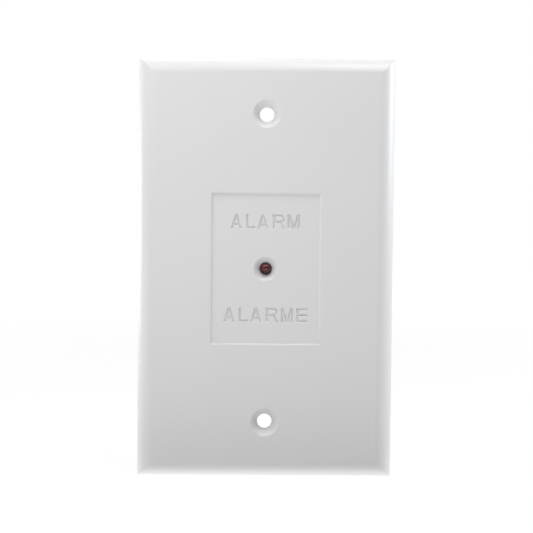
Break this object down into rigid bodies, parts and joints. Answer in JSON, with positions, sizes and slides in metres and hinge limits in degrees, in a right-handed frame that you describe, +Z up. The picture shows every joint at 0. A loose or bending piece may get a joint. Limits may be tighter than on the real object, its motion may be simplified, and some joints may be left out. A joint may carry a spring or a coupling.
{
  "type": "remote alarm indicator",
  "caption": "White wall plate with countersunk screw holes and a recessed panel whose small red lamp repeats an alarm; lamp board and screw terminal behind it.",
  "frame": {"origin": "midway between the screw holes, in the plane of the wall behind the plate's rim", "axes": "+Z up the plate's height, +X to the right seen from the front, +Y into the wall"},
  "size_m": [0.0698, 0.0213, 0.1142],
  "materials": {
    "plate_plastic": "satin white moulded thermoplastic",
    "lamp_epoxy": "clear epoxy tinted red",
    "tinned_lead": "tinned steel",
    "lamp_chip": "semiconductor chip",
    "nylon": "natural nylon",
    "board_laminate": "green solder mask over glass-fibre laminate",
    "zinc_steel": "zinc-plated steel",
    "terminal_plastic": "blue moulded thermoplastic",
    "nickel_plate": "nickel-plated steel",
    "tinned_brass": "tin-plated brass",
    "resistor_coat": "beige lacquer with colour bands",
    "diode_epoxy": "black moulded epoxy with a silver band",
    "solder": "bright solder"
  },
  "bodies": {
    "plate": {"wall_plate": "plate_plastic", "led_lens": "lamp_epoxy", "led_anvil": "tinned_lead", "led_post": "tinned_lead", "led_die": "lamp_chip", "led_spacer": "nylon", "circuit_board": "board_laminate", "board_screws": "zinc_steel", "terminal_housing": "terminal_plastic", "contact_pos": "tinned_brass", "contact_neg": "tinned_brass", "resistor_body": "resistor_coat", "resistor_leads": "tinned_lead", "diode_body": "diode_epoxy", "diode_leads": "tinned_lead", "solder_fillets": "solder"},
    "clamp_screw_pos": {"clamp_screw_pos": "zinc_steel"},
    "clamp_cage_pos": {"clamp_cage_pos": "nickel_plate"},
    "clamp_screw_neg": {"clamp_screw_neg": "zinc_steel"},
    "clamp_cage_neg": {"clamp_cage_neg": "nickel_plate"}
  },
  "joints": [
    {"name": "screw_turn_pos", "type": "hinge", "parent": "plate", "child": "clamp_screw_pos", "pos_m": [-0.00254, 0.0142, -0.01025], "axis": [0, -1, 0], "range_deg": [0, 1728]},
    {"name": "cage_lift_pos", "type": "slide", "parent": "plate", "child": "clamp_cage_pos", "axis": [0, 1, 0], "range_m": [0, 0.0024]},
    {"name": "screw_turn_neg", "type": "hinge", "parent": "plate", "child": "clamp_screw_neg", "pos_m": [0.00254, 0.0142, -0.01025], "axis": [0, -1, 0], "range_deg": [0, 1728]},
    {"name": "cage_lift_neg", "type": "slide", "parent": "plate", "child": "clamp_cage_neg", "axis": [0, 1, 0], "range_m": [0, 0.0024]}
  ],
  "couplings": [
    {"joint": "screw_turn_pos", "follows": "cage_lift_pos", "rad_per_m": 12566},
    {"joint": "screw_turn_neg", "follows": "cage_lift_neg", "rad_per_m": 12566}
  ]
}
